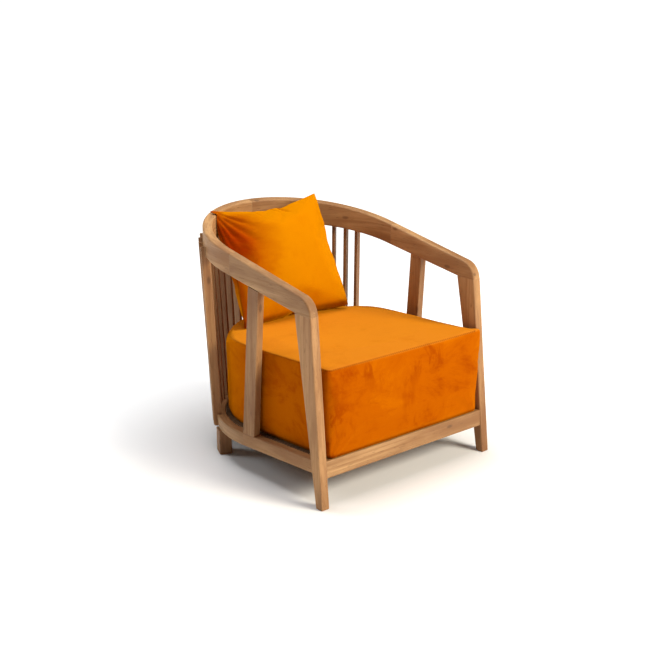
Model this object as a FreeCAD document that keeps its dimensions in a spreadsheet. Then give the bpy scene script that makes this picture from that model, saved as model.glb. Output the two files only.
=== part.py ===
import FreeCAD, Part
import math
import os
import re
import Sketcher

# Barrel armchair: a wooden frame with a horseshoe top rail, carried by two front legs, two arm
# posts and a row of upright slats that stand round a D-shaped seat ring, with a loose seat
# cushion and a loose throw pillow.  Units: mm.  +Z up, the chair faces -Y.  The origin is on
# the floor, in the middle of the chair's outline.

SIZES = {
    # overall
    "depth": (774.5, "front of the feet to the back of the slats"),
    "rail_radius": (312.0, "centreline radius of the top rail's half circle"),
    "crest_height": (708.0, "top of the rail at the back"),
    # top rail and arms
    "rail_thick": (29.0, "thickness of the top rail and arms"),
    "rail_tall": (77.0, "upright height of the rail at the back"),
    "rail_slope": (0.195, "rise of the rail's top face per mm towards the back"),
    "rail_ease": (5.0, "rounding of the rail's long edges"),
    "arm_round": (55.0, "radius where the arm turns down into the leg"),
    "arm_joint": (26.5, "straight length of each curved rail piece, ahead of its half circle"),
    # front legs
    "leg_top": (531.0, "height of the joint between leg and arm"),
    "leg_lean": (53.0, "how far the front face leans back over the leg's height"),
    "leg_splay": (7.5, "how far the foot stands outside the arm"),
    "leg_deep": (68.0, "depth of the leg at the arm"),
    "foot_deep": (27.0, "depth of the leg at the floor"),
    "foot_wide": (27.5, "width of the leg at the floor"),
    "leg_ease": (4.0, "rounding of the legs' long edges"),
    "foot_ease": (2.5, "chamfer round the bottom of each foot"),
    # arm posts
    "post_thick": (23.2, "thickness of the arm post"),
    "post_lead": (51.0, "front of the post ahead of where the ring's corners begin"),
    "post_deep": (52.4, "depth of the post at the seat ring"),
    "post_head": (47.0, "depth of the post under the arm"),
    "post_shift": (28.5, "how far the post's head stands ahead of its foot"),
    "post_ease": (3.0, "rounding of the post's long edges"),
    # seat ring
    "ring_top": (133.7, "height of the seat ring's top at the front rail's face"),
    "ring_tall": (38.5, "height of the side, corner and back ring pieces"),
    "ring_thick": (28.0, "thickness of the ring pieces"),
    "ring_flare": (3.1, "how far the ring stands outside the rail where its corners begin"),
    "ring_lead": (77.1, "where the ring's corners begin, ahead of the middle of the rail's half circle"),
    "ring_taper": (0.015, "how much the ring's sides close in per mm towards the front"),
    "corner_radius": (392.4, "outer radius of the ring's corners"),
    "back_radius": (266.8, "outer radius of the ring's back"),
    "seat_slope": (0.041, "fall of the whole seat per mm towards the back"),
    "ring_ease": (4.0, "rounding of the ring's long edges"),
    "front_tall": (50.0, "height of the front rail"),
    "front_deep": (26.0, "thickness of the front rail"),
    "front_reveal": (1.2, "how far the front rail's face stands behind the legs' faces"),
    # slats
    "slat_count": (10, "slats on each side of the centre line"),
    "slat_wide": (10.5, "width of a slat"),
    "slat_deep": (26.0, "depth of a slat"),
    "slat_pitch": (38.0, "spacing of the slats along the rail's centreline"),
    "slat_step": (37.0, "spacing of the slats along the ring's outer face"),
    "slat_proud": (13.6, "how far the slats' heads stand out behind the rail"),
    "slat_lap": (30.0, "how far a slat's outer half laps up over the rail"),
    "slat_foot": (2.0, "how far a slat's outer half stops above the ring's lower edge"),
    "slat_ease": (1.6, "rounding of the slats' long edges"),
    "slat_heel": (7.0, "rounding of each slat's bottom outer corner"),
    # rear legs
    "rear_angle": (24.0, "direction of the rear leg round the ring's corner, in degrees"),
    "rear_wide": (38.0, "rear leg across the ring"),
    "rear_long": (50.0, "rear leg along the ring"),
    # seat carcass
    "deck_thick": (9.0, "thickness of the seat panel"),
    "deck_gap": (1.0, "clearance round the seat panel"),
    "bearer_wide": (45.0, "width of a seat bearer"),
    "bearer_tall": (22.0, "height of a seat bearer"),
    "bearer_offset": (90.0, "bearer's distance from the centre line"),
    "block_leg": (62.0, "length of a corner block's sides"),
    # soft pieces
    "cushion_inset": (38.7, "cushion's edge inside the ring's outer face"),
    "cushion_front": (292.0, "half width of the cushion's front"),
    "cushion_tall": (253.0, "thickness of the cushion"),
    "cushion_proud": (3.6, "how far the cushion's front stands ahead of the front rail"),
    "cushion_round": (28.0, "rounding of the cushion's upright front corners"),
    "cushion_edge": (26.0, "rounding of the cushion's top edge"),
    "soft_gap": (0.3, "clearance under a soft piece"),
    "pillow_wide": (372.0, "pillow across"),
    "pillow_tall": (378.0, "pillow from its bottom edge to its top edge"),
    "pillow_thick": (116.0, "pillow through its middle"),
    "pillow_rim": (10.0, "thickness of the pillow's edge"),
    "pillow_face": (0.62, "share of the pillow's width and height that its full middle takes"),
    "pillow_corner": (80.0, "rounding of the pillow's corners"),
    "pillow_turn": (-8.3, "pillow's turn about the upright axis, in degrees"),
    "pillow_lean": (27.0, "pillow's lean back, in degrees"),
    "pillow_roll": (-2.9, "pillow's turn in its own plane, in degrees"),
    "pillow_side": (-9.0, "pillow's middle from the centre line"),
    "pillow_ahead": (190.0, "pillow's middle ahead of the rail's back"),
}

doc = FreeCAD.newDocument("armchair")
sheet = doc.addObject("Spreadsheet::Sheet", "Sizes")
for row, (alias, (size, note)) in enumerate(SIZES.items(), start=1):
    sheet.set(f"A{row}", note)
    sheet.set(f"B{row}", str(size))
    sheet.setAlias(f"B{row}", alias)
doc.recompute()

subparts = {}


def prefixed(word):
    return f"Sizes.{word}" if word in SIZES else word


def bind(formula):
    """A formula of size names, with each name pointing at its cell."""
    return re.sub(r"[a-z][a-z_]+", lambda word: prefixed(word.group()), formula)


def value(formula):
    """The number that a formula of size names comes to."""
    return float(sheet.evalExpression(bind(formula)))


# Places that several pieces share, as formulas of the sizes.
FRONT = "(-depth/2)"
RAIL_OUT = "(rail_radius + rail_thick/2)"
RAIL_IN = "(rail_radius - rail_thick/2)"
RAIL_MID_Y = f"(depth/2 - slat_proud - {RAIL_OUT})"
RAIL_BACK_Y = f"({RAIL_MID_Y} + rail_radius)"
JOINT_Y = f"({RAIL_MID_Y} - arm_joint)"
LEG_FRONT_TOP = f"({FRONT} + leg_lean)"
LEG_BACK_TOP = f"({LEG_FRONT_TOP} + leg_deep)"
LEG_BACK_FOOT = f"({FRONT} + foot_deep)"
LEG_IN_FOOT = f"({RAIL_IN} + leg_splay)"
UNDER_SLOPE = f"((crest_height - rail_tall - leg_top)/({RAIL_BACK_Y} - {LEG_BACK_TOP}))"
FRONT_FACE_Y = f"({FRONT} + leg_lean*ring_top/leg_top + front_reveal)"
FRONT_BACK_Y = f"({FRONT_FACE_Y} + front_deep)"
RING_HALF = f"({RAIL_OUT} + ring_flare)"
TURN_Y = f"({RAIL_MID_Y} - ring_lead)"
TAPER_LEN = "sqrt(1 + ring_taper^2)"
TILT_LEN = "sqrt(1 + seat_slope^2)"
CORNER_X = f"({RING_HALF} - corner_radius/{TAPER_LEN})"
CORNER_Y = f"({TURN_Y} + corner_radius*ring_taper/{TAPER_LEN})"
BACK_MID_Y = f"({CORNER_Y} + sqrt((corner_radius - back_radius)^2 - {CORNER_X}^2))"


def top_z(y):
    """Height of the rail's top face at depth y."""
    return f"(crest_height + rail_slope*({y} - {RAIL_BACK_Y}))"


def under_z(y):
    """Height of the rail's underside at depth y."""
    return f"(leg_top + {UNDER_SLOPE}*({y} - {LEG_BACK_TOP}))"


def seat_z(y):
    """Height of the seat ring's top face at depth y."""
    return f"(ring_top - seat_slope*({y} - {FRONT_FACE_Y}))"


def leg_front_y(z):
    return f"({FRONT} + leg_lean*{z}/leg_top)"


def leg_back_y(z):
    return f"({LEG_BACK_FOOT} + ({LEG_BACK_TOP} - {LEG_BACK_FOOT})*{z}/leg_top)"


def leg_in_x(z):
    return f"({LEG_IN_FOOT} - leg_splay*{z}/leg_top)"


def ring_side_x(y, inset="0"):
    """Side of the ring at depth y, moved inwards by inset."""
    return f"({RING_HALF} - ring_taper*({TURN_Y} - {y}) - {inset}*{TAPER_LEN})"


def turn_point(inset="0"):
    """Where the ring's straight side meets its corner."""
    radius = f"(corner_radius - {inset})"
    return f"({CORNER_X} + {radius}/{TAPER_LEN})", f"({CORNER_Y} - {radius}*ring_taper/{TAPER_LEN})"


def back_point(inset="0"):
    """Where the ring's corner meets its back."""
    share = f"((back_radius - {inset})/(back_radius - corner_radius))"
    return f"({CORNER_X}*{share})", f"({BACK_MID_Y} + ({CORNER_Y} - {BACK_MID_Y})*{share})"


def rear_y(inset="0"):
    """Middle of the ring's back, moved inwards by inset."""
    return f"({BACK_MID_Y} + back_radius - {inset})"


def seat_tilt():
    """The tilt of the whole seat, about the top front edge of the front rail."""
    pivot = FreeCAD.Vector(0, value(FRONT_FACE_Y), value("ring_top"))
    turn = FreeCAD.Rotation(FreeCAD.Vector(1, 0, 0), -math.degrees(math.atan(value("seat_slope"))))
    return FreeCAD.Placement(FreeCAD.Vector(0, 0, 0), turn, pivot)


def before_tilt(y, z):
    """Where a point of the chair lies before the seat is tilted."""
    along = f"({y} - {FRONT_FACE_Y})"
    above = f"({z} - ring_top)"
    return (f"({FRONT_FACE_Y} + ({along} - seat_slope*{above})/{TILT_LEN})",
            f"(ring_top + ({above} + seat_slope*{along})/{TILT_LEN})")


# Drawing helpers.

NEAR = 0.01  # two places closer than this, in mm, are one


def is_upright(edge):
    """True for an edge that runs mostly upwards."""
    return edge.BoundBox.ZLength > max(edge.BoundBox.XLength, edge.BoundBox.YLength)


def new_body(label):
    body = doc.addObject("PartDesign::Body", label)
    body.Label = label
    return body


def new_sketch(body, name, role, offset="0"):
    """A sketch on one of the body's origin planes, moved along the plane's normal."""
    sketch = body.newObject("Sketcher::SketchObject", f"{body.Name}_{name}")
    plane = [feature for feature in body.Origin.OriginFeatures if feature.Role == role][0]
    sketch.AttachmentSupport = [(plane, "")]
    sketch.MapMode = "FlatFace"
    sketch.setExpression(".AttachmentOffset.Base.z", bind(offset))
    return sketch


def bulge_centre(start, end, radius, left):
    """Centre of an arc from start to end; it lies to the left or the right of the way."""
    half = (end - start) * 0.5
    height = math.sqrt(max(radius ** 2 - half.Length ** 2, 0.0))
    across = FreeCAD.Vector(-half.y, half.x, 0).normalize()
    return start + half + across * (height if left else -height)


def draw_loop(sketch, corners, arcs=None):
    """A closed outline through corners; arcs maps an edge's number to its radius.

    A positive radius turns left along the outline and a negative one, written with a leading
    minus sign, turns right.
    """
    arcs = arcs or {}
    points = [FreeCAD.Vector(value(x), value(y), 0) for x, y in corners]
    ends = []
    for number, start in enumerate(points):
        end = points[(number + 1) % len(points)]
        if number not in arcs:
            ends.append((sketch.addGeometry(Part.LineSegment(start, end)), 1, 2))
            continue
        turns_right = arcs[number].startswith("-")
        size = arcs[number].lstrip("-")
        centre = bulge_centre(start, end, value(size), not turns_right)
        first, last = (end, start) if turns_right else (start, end)
        angles = [math.atan2(point.y - centre.y, point.x - centre.x) for point in (first, last)]
        circle = Part.Circle(centre, FreeCAD.Vector(0, 0, 1), value(size))
        edge = sketch.addGeometry(Part.ArcOfCircle(circle, angles[0], angles[1]))
        ends.append((edge, 2, 1) if turns_right else (edge, 1, 2))
        radius = sketch.addConstraint(Sketcher.Constraint("Radius", edge, value(size)))
        sketch.setExpression(f"Constraints[{radius}]", bind(size))
    for number, (edge, start, end) in enumerate(ends):
        following = ends[(number + 1) % len(ends)]
        sketch.addConstraint(Sketcher.Constraint("Coincident", edge, end, following[0], following[1]))
        for kind, size in zip(("DistanceX", "DistanceY"), corners[number]):
            place = sketch.addConstraint(Sketcher.Constraint(kind, -1, 1, edge, start, value(size)))
            sketch.setExpression(f"Constraints[{place}]", bind(size))


def pad(body, sketch, length):
    feature = body.newObject("PartDesign::Pad", f"{sketch.Name}_pad")
    feature.Profile = sketch
    feature.setExpression("Length", bind(length))
    return feature


def pocket(body, sketch, length):
    feature = body.newObject("PartDesign::Pocket", f"{sketch.Name}_pocket")
    feature.Profile = sketch
    feature.setExpression("Length", bind(length))
    return feature


def ease(body, feature, radius, wanted, kind="Fillet"):
    """Round or chamfer those edges of a feature that wanted(edge) picks."""
    doc.recompute()
    names = [f"Edge{number}" for number, edge in enumerate(feature.Shape.Edges, start=1) if wanted(edge)]
    rounded = body.newObject(f"PartDesign::{kind}", f"{feature.Name}_{kind.lower()}")
    rounded.Base = (feature, names)
    rounded.setExpression("Radius" if kind == "Fillet" else "Size", bind(radius))
    return rounded


def tilted(body):
    """Lay a piece of the seat, drawn level, at the seat's tilt."""
    body.Placement = seat_tilt()
    return body


def keep(label, obj):
    obj.Label = label
    subparts[label] = obj
    return obj


def mirror(label, source):
    """The same piece for the other side of the chair."""
    twin = doc.addObject("Part::Mirroring", label)
    twin.Source = source
    twin.Normal = FreeCAD.Vector(1, 0, 0)
    return keep(label, twin)


def both_sides(name, right):
    keep(f"{name}_right", right)
    mirror(f"{name}_left", right)


def cut(name, base, tool):
    result = doc.addObject("Part::Cut", name)
    result.Base = base
    result.Tool = tool
    return result


# Sub-parts.

def lean_sideways(body, foot_in, foot_out, foot_z, head_in, head_out, head_z, spare):
    """Trim a side profile's block to two slanted side faces, from its foot to its head."""
    face = new_sketch(body, "lean", "XZ_Plane", "depth")
    draw_loop(face, [(foot_in, foot_z), (head_in, head_z), (f"{head_in} - {spare}", head_z),
                     (f"{head_in} - {spare}", foot_z)])
    draw_loop(face, [(foot_out, foot_z), (f"{foot_out} + {spare}", foot_z),
                     (f"{foot_out} + {spare}", head_z),
                     (head_out, head_z)])
    return pocket(body, face, "2*depth")


def front_leg():
    """Tapered leg that leans back from the foot to the joint under the arm."""
    body = new_body("leg_front_right")
    side = new_sketch(body, "side", "YZ_Plane", RAIL_IN)
    foot_out = f"({LEG_IN_FOOT} + foot_wide)"
    draw_loop(side, [(FRONT, "0"), (LEG_BACK_FOOT, "0"),
                     (LEG_BACK_TOP, "leg_top"), (LEG_FRONT_TOP, "leg_top")])
    pad(body, side, f"{foot_out} - {RAIL_IN}")
    block = lean_sideways(body, LEG_IN_FOOT, foot_out, "0", RAIL_IN, RAIL_OUT, "leg_top", "rail_thick")
    eased = ease(body, block, "leg_ease", is_upright)
    ease(body, eased, "foot_ease", lambda edge: edge.BoundBox.ZMax < NEAR, "Chamfer")
    return body


def arm():
    """Straight arm with the rounded corner that turns down into the front leg."""
    body = new_body("arm_right")
    side = new_sketch(body, "side", "YZ_Plane", RAIL_IN)
    lean = "(leg_lean/leg_top)"
    corner_z = f"((crest_height + rail_slope*({FRONT} - {RAIL_BACK_Y}))/(1 - rail_slope*{lean}))"
    corner_y = leg_front_y(corner_z)
    draw_loop(side, [(LEG_BACK_TOP, "leg_top"), (LEG_FRONT_TOP, "leg_top"), (corner_y, corner_z),
                     (JOINT_Y, top_z(JOINT_Y)), (JOINT_Y, under_z(JOINT_Y))])
    block = pad(body, side, "rail_thick")
    front = value(corner_y)
    turned = ease(body, block, "arm_round",
                  lambda edge: edge.BoundBox.YLength < NEAR and abs(edge.BoundBox.YMin - front) < NEAR)
    joint = value(JOINT_Y)
    base = value("leg_top")
    ease(body, turned, "rail_ease",
         lambda edge: edge.BoundBox.XLength < NEAR and edge.BoundBox.YMin < joint - NEAR
         and edge.BoundBox.ZMax > base + NEAR)
    return body


def rail_curve(label, rounded):
    """Quarter of the top rail, from the arm's end to the middle of the back."""
    body = new_body(label)
    plan = new_sketch(body, "plan", "XY_Plane")
    far = f"({RAIL_MID_Y} + {RAIL_OUT})"
    near = f"({RAIL_MID_Y} + {RAIL_IN})"
    draw_loop(plan, [(RAIL_OUT, JOINT_Y), (RAIL_OUT, RAIL_MID_Y), ("0", far), ("0", near),
                     (RAIL_IN, RAIL_MID_Y), (RAIL_IN, JOINT_Y)], {1: RAIL_OUT, 3: "-" + RAIL_IN})
    pad(body, plan, "crest_height + rail_tall")
    side = new_sketch(body, "side", "YZ_Plane", "2*rail_radius")
    ahead = f"({JOINT_Y} - rail_radius)"
    behind = f"({far} + rail_thick)"
    draw_loop(side, [(ahead, top_z(ahead)), (behind, top_z(behind)), (behind, "2*crest_height"),
                     (ahead, "2*crest_height")])
    draw_loop(side, [(ahead, "-rail_tall"), (behind, "-rail_tall"), (behind, under_z(behind)),
                     (ahead, under_z(ahead))])
    band = pocket(body, side, "4*rail_radius")
    if rounded:
        joint = value(JOINT_Y)
        ease(body, band, "rail_ease",
             lambda edge: (edge.BoundBox.YMax > joint + NEAR and edge.BoundBox.XMax > NEAR
                           and not is_upright(edge)))
    return body


def post():
    """Flat post between the ring and the arm, flush with both outside."""
    body = new_body("post_right")
    foot_y = f"({TURN_Y} - post_lead)"
    foot_back = f"({foot_y} + post_deep)"
    head_y = f"({foot_y} - post_shift)"
    head_back = f"({head_y} + post_head)"
    foot_x = ring_side_x(foot_y)
    head_in = f"({RAIL_OUT} - post_thick)"
    side = new_sketch(body, "side", "YZ_Plane", head_in)
    draw_loop(side, [(foot_y, seat_z(foot_y)), (foot_back, seat_z(foot_back)),
                     (head_back, under_z(head_back)), (head_y, under_z(head_y))])
    pad(body, side, f"{foot_x} - {head_in}")
    block = lean_sideways(body, f"({foot_x} - post_thick)", foot_x, seat_z(foot_back), head_in, RAIL_OUT,
                          under_z(head_back), "2*post_thick")
    ease(body, block, "post_ease", lambda edge: edge.BoundBox.ZLength > value("ring_top"))
    return body


def front_rail():
    """Rail between the front legs, under the front of the cushion."""
    body = new_body("rail_front")
    face = new_sketch(body, "face", "XZ_Plane", f"-{FRONT_BACK_Y}")
    low = "(ring_top - front_tall)"
    draw_loop(face, [(f"-{leg_in_x(low)}", low), (leg_in_x(low), low), (leg_in_x("ring_top"), "ring_top"),
                     (f"-{leg_in_x('ring_top')}", "ring_top")])
    block = pad(body, face, "front_deep")
    ease(body, block, "ring_ease", lambda edge: edge.BoundBox.XLength > value("rail_radius"))
    return tilted(body)


def side_rail():
    """Straight side of the seat ring, from the front leg to the ring's corner."""
    body = new_body("rail_side_right")
    plan = new_sketch(body, "plan", "XY_Plane", "ring_top - ring_tall")
    out_turn = turn_point()
    in_turn = turn_point("ring_thick")
    ahead = LEG_BACK_FOOT
    draw_loop(plan, [(ring_side_x(ahead), ahead), out_turn, in_turn,
                     (ring_side_x(ahead, "ring_thick"), ahead)])
    pad(body, plan, "ring_tall")
    side = new_sketch(body, "side", "YZ_Plane", "2*rail_radius")
    low_y, low_z = before_tilt(LEG_BACK_FOOT, "0")
    high_y, high_z = before_tilt(leg_back_y("leg_top/2"), "leg_top/2")
    draw_loop(side, [(low_y, low_z), (high_y, high_z), (f"{FRONT} - leg_deep", high_z),
                     (f"{FRONT} - leg_deep", low_z)])
    block = pocket(body, side, "2*rail_radius")
    ease(body, block, "ring_ease", lambda edge: edge.BoundBox.YLength > value("rail_radius") / 2)
    return tilted(body)


def ring_corner():
    """Curved corner of the seat ring."""
    body = new_body("ring_corner_right")
    plan = new_sketch(body, "plan", "XY_Plane", "ring_top - ring_tall")
    draw_loop(plan, [turn_point(), back_point(), back_point("ring_thick"), turn_point("ring_thick")],
              {0: "corner_radius", 2: "-(corner_radius - ring_thick)"})
    block = pad(body, plan, "ring_tall")
    ease(body, block, "ring_ease", lambda edge: edge.Length > value("corner_radius") / 2)
    return tilted(body)


def ring_back():
    """Back of the seat ring, between its two corners."""
    body = new_body("ring_back")
    plan = new_sketch(body, "plan", "XY_Plane", "ring_top - ring_tall")
    out_x, out_y = back_point()
    in_x, in_y = back_point("ring_thick")
    draw_loop(plan, [(out_x, out_y), (f"-{out_x}", out_y), (f"-{in_x}", in_y), (in_x, in_y)],
              {0: "back_radius", 2: "-(back_radius - ring_thick)"})
    block = pad(body, plan, "ring_tall")
    ease(body, block, "ring_ease", lambda edge: edge.BoundBox.XLength > value("ring_thick") * 2)
    return tilted(body)


def ring_envelope():
    """The right half of the ring's corner and back in one piece, with square edges."""
    body = new_body("ring_envelope")
    plan = new_sketch(body, "plan", "XY_Plane", "ring_top - ring_tall")
    draw_loop(plan, [turn_point(), back_point(), ("0", rear_y()), ("0", rear_y("ring_thick")),
                     back_point("ring_thick"), turn_point("ring_thick")],
              {0: "corner_radius", 1: "back_radius", 3: "-(back_radius - ring_thick)",
               4: "-(corner_radius - ring_thick)"})
    pad(body, plan, "ring_tall")
    return tilted(body)


def ring_place(run):
    """Point at mid height and outward direction on the ring's outer face, a run from the back."""
    back_radius = value("back_radius")
    corner_radius = value("corner_radius")
    back_mid = FreeCAD.Vector(0, value(BACK_MID_Y), 0)
    corner_mid = FreeCAD.Vector(value(CORNER_X), value(CORNER_Y), 0)
    back_turn = math.atan2(back_mid.x - corner_mid.x, back_mid.y - corner_mid.y)
    back_run = back_radius * back_turn
    if run <= back_run:
        turn, centre, radius = run / back_radius, back_mid, back_radius
    else:
        turn, centre, radius = back_turn + (run - back_run) / corner_radius, corner_mid, corner_radius
    out = FreeCAD.Vector(math.sin(turn), math.cos(turn), 0)
    level = centre + out * radius + FreeCAD.Vector(0, 0, value("ring_top - ring_tall/2"))
    tilt = seat_tilt()
    return tilt.multVec(level), tilt.Rotation.multVec(out)


def rail_place(run):
    """Point and outward direction on the rail's outer face, a centreline run from the back."""
    turn = run / value("rail_radius")
    out = FreeCAD.Vector(math.sin(turn), math.cos(turn), 0)
    centre = FreeCAD.Vector(0, value(RAIL_MID_Y), 0)
    return centre + out * value(RAIL_OUT), out


def slat(number, rail_tool, ring_tool):
    """Upright slat: its inner half stands between ring and rail, its outer half laps over both."""
    share = number + 0.5
    foot, foot_out = ring_place(share * value("slat_step"))
    head, head_out = rail_place(share * value("slat_pitch"))
    rail_y = head.y - head_out.y * value("rail_thick") / 2
    lap = value("slat_lap")
    head.z = value("crest_height - rail_tall") - value(UNDER_SLOPE) * (value(RAIL_BACK_Y) - rail_y) + lap / 2
    up = (head - foot).normalize()
    out = foot_out + head_out
    out = (out - up * out.dot(up)).normalize()
    across = up.cross(out)
    bottom = foot - up * value("ring_tall/2 - slat_foot")
    top = head + up * (lap / 2)
    stick = doc.addObject("Part::Box", f"slat_stick_{number}")
    stick.setExpression("Length", bind("slat_deep"))
    stick.setExpression("Width", bind("slat_wide"))
    stick.Height = (top - bottom).Length
    corner = bottom - out * value("slat_deep/2") - across * value("slat_wide/2")
    stick.Placement = FreeCAD.Placement(FreeCAD.Matrix(out.x, across.x, up.x, corner.x,
                                                       out.y, across.y, up.y, corner.y,
                                                       out.z, across.z, up.z, corner.z))
    doc.recompute()
    rounded = doc.addObject("Part::Fillet", f"slat_eased_{number}")
    rounded.Base = stick
    rounded.Edges = slat_edges(stick, bottom + out * value("slat_deep/2"))
    seated = cut(f"slat_seated_{number}", rounded, ring_tool)
    return cut(f"slat_right_{number + 1:02d}", seated, rail_tool)


def slat_edges(stick, heel):
    """The four long edges, and the bottom outer edge, whose middle is at heel."""
    edges = []
    for number, edge in enumerate(stick.Shape.Edges, start=1):
        if edge.Length > value("slat_deep") * 2:
            edges.append((number, value("slat_ease"), value("slat_ease")))
        elif (edge.CenterOfMass - heel).Length < NEAR:
            edges.append((number, value("slat_heel"), value("slat_heel")))
    return edges


def rear_leg():
    """Short upright leg under the ring's corner, square to the ring."""
    leg = doc.addObject("Part::Box", "leg_rear_stock")
    leg.setExpression("Length", bind("rear_wide"))
    leg.setExpression("Width", bind("rear_long"))
    leg.setExpression("Height", "Sizes.ring_top")
    turn = math.radians(value("rear_angle"))
    out = FreeCAD.Vector(math.cos(turn), math.sin(turn), 0)
    across = FreeCAD.Vector(-out.y, out.x, 0)
    corner_mid = FreeCAD.Vector(value(CORNER_X), value(CORNER_Y), 0)
    reach = value("corner_radius - ring_thick/2 - rear_wide/2")
    corner = corner_mid + out * reach - across * value("rear_long/2")
    turn = FreeCAD.Rotation(FreeCAD.Vector(0, 0, 1), value("rear_angle"))
    leg.Placement = FreeCAD.Placement(corner, turn)
    doc.recompute()
    eased = doc.addObject("Part::Fillet", "leg_rear_eased")
    eased.Base = leg
    upright = [number for number, edge in enumerate(leg.Shape.Edges, start=1) if is_upright(edge)]
    floor = [number for number, edge in enumerate(leg.Shape.Edges, start=1) if edge.BoundBox.ZMax < NEAR]
    eased.Edges = [(number, value("leg_ease"), value("leg_ease")) for number in upright] \
        + [(number, value("foot_ease"), value("foot_ease")) for number in floor]
    return cut("leg_rear_right", eased, above_ring())


def above_ring():
    """Everything above the seat ring's underside."""
    space = doc.addObject("Part::Box", "above_ring")
    for side in ("Length", "Width", "Height"):
        space.setExpression(side, bind("2*depth"))
    level = FreeCAD.Vector(value("-depth"), value("-depth"), value("ring_top - ring_tall"))
    space.Placement = seat_tilt() * FreeCAD.Placement(level, FreeCAD.Rotation())
    return space


def seat_deck():
    """Seat panel inside the ring, level with its top."""
    body = new_body("seat_deck")
    inset = "(ring_thick + deck_gap)"
    turn_x, turn_y = turn_point(inset)
    back_x, back_y = back_point(inset)
    front_y = f"({FRONT_BACK_Y} + deck_gap)"
    side_x = ring_side_x(front_y, inset)
    plan = new_sketch(body, "plan", "XY_Plane", "ring_top - deck_thick")
    draw_loop(plan, [(f"-{side_x}", front_y), (side_x, front_y), (turn_x, turn_y), (back_x, back_y),
                     (f"-{back_x}", back_y), (f"-{turn_x}", turn_y)],
              {2: f"(corner_radius - {inset})", 3: f"(back_radius - {inset})",
               4: f"(corner_radius - {inset})"})
    pad(body, plan, "deck_thick")
    return tilted(body)


def bearer():
    """Batten under the seat panel, from the front rail to the back of the ring."""
    body = new_body("bearer_right")
    near = "(bearer_offset - bearer_wide/2)"
    far = "(bearer_offset + bearer_wide/2)"
    bend = "(back_radius - ring_thick)"
    plan = new_sketch(body, "plan", "XY_Plane", "ring_top - deck_thick - bearer_tall")
    draw_loop(plan, [(near, FRONT_BACK_Y), (far, FRONT_BACK_Y),
                     (far, f"({BACK_MID_Y} + sqrt({bend}^2 - {far}^2))"),
                     (near, f"({BACK_MID_Y} + sqrt({bend}^2 - {near}^2))")], {2: bend})
    pad(body, plan, "bearer_tall")
    return tilted(body)


def corner_block():
    """Three-cornered block behind the front rail, against the side rail."""
    body = new_body("corner_block_right")
    plan = new_sketch(body, "plan", "XY_Plane", "ring_top - ring_tall")
    side = "ring_thick"
    back = f"({FRONT_BACK_Y} + block_leg)"
    draw_loop(plan, [(f"({ring_side_x(FRONT_BACK_Y, side)} - block_leg)", FRONT_BACK_Y),
                     (ring_side_x(FRONT_BACK_Y, side), FRONT_BACK_Y), (ring_side_x(back, side), back)])
    pad(body, plan, "ring_tall - deck_thick")
    return tilted(body)


def cushion():
    """D-shaped seat cushion on the ring, between the front legs."""
    body = new_body("seat_cushion")
    turn_x, turn_y = turn_point("cushion_inset")
    back_x, back_y = back_point("cushion_inset")
    front_y = f"({FRONT_FACE_Y} - cushion_proud)"
    plan = new_sketch(body, "plan", "XY_Plane", "ring_top + soft_gap")
    draw_loop(plan, [("-cushion_front", front_y), ("cushion_front", front_y),
                     (turn_x, turn_y), (back_x, back_y),
                     (f"-{back_x}", back_y), (f"-{turn_x}", turn_y)],
              {2: "(corner_radius - cushion_inset)", 3: "(back_radius - cushion_inset)",
               4: "(corner_radius - cushion_inset)"})
    block = pad(body, plan, "cushion_tall")
    front = value(front_y)
    tall = ease(body, block, "cushion_round",
                lambda edge: edge.BoundBox.YMax < front + NEAR and is_upright(edge))
    top = value("ring_top + soft_gap + cushion_tall")
    ease(body, tall, "cushion_edge", lambda edge: edge.BoundBox.ZMin > top - NEAR)
    return tilted(body)


def pillow():
    """Square throw pillow: a thin rim that swells to a full middle, leaning back on the cushion."""
    body = new_body("throw_pillow")
    sections = []
    for name, scale, height in (("front", "pillow_face", "-pillow_thick/2"),
                                ("rim_front", "1", "-pillow_rim/2"),
                                ("rim_back", "1", "pillow_rim/2"),
                                ("back", "pillow_face", "pillow_thick/2")):
        sketch = new_sketch(body, name, "XZ_Plane", height)
        sections.append(sketch)
        across = f"(pillow_wide*{scale}/2)"
        up = f"(pillow_tall*{scale}/2)"
        bend = f"(pillow_corner*{scale})"
        side = f"({across} - {bend})"
        rise = f"({up} - {bend})"
        draw_loop(sketch, [(f"-{side}", f"-{up}"), (side, f"-{up}"), (across, f"-{rise}"), (across, rise),
                           (side, up), (f"-{side}", up), (f"-{across}", rise), (f"-{across}", f"-{rise}")],
                  {1: bend, 3: bend, 5: bend, 7: bend})
    loft = body.newObject("PartDesign::AdditiveLoft", "pillow_loft")
    loft.Profile = sections[0]
    loft.Sections = sections[1:]
    loft.Ruled = True
    turn = FreeCAD.Rotation(FreeCAD.Vector(0, 0, 1), value("pillow_turn"))
    lean = FreeCAD.Rotation(FreeCAD.Vector(1, 0, 0), -value("pillow_lean"))
    roll = FreeCAD.Rotation(FreeCAD.Vector(0, 1, 0), value("pillow_roll"))
    tilt = seat_tilt()
    on_seat = tilt.Rotation.inverted() * turn * lean * roll
    body.Placement = FreeCAD.Placement(FreeCAD.Vector(0, 0, 0), on_seat)
    doc.recompute()
    drop = body.Shape.optimalBoundingBox(True).ZMin
    rest_z = value("ring_top + cushion_tall + 2*soft_gap") - drop
    middle_y = value(f"{RAIL_BACK_Y} - pillow_ahead")
    middle = FreeCAD.Vector(value("pillow_side"), middle_y, rest_z)
    body.Placement = tilt * FreeCAD.Placement(middle, on_seat)
    return body


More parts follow.
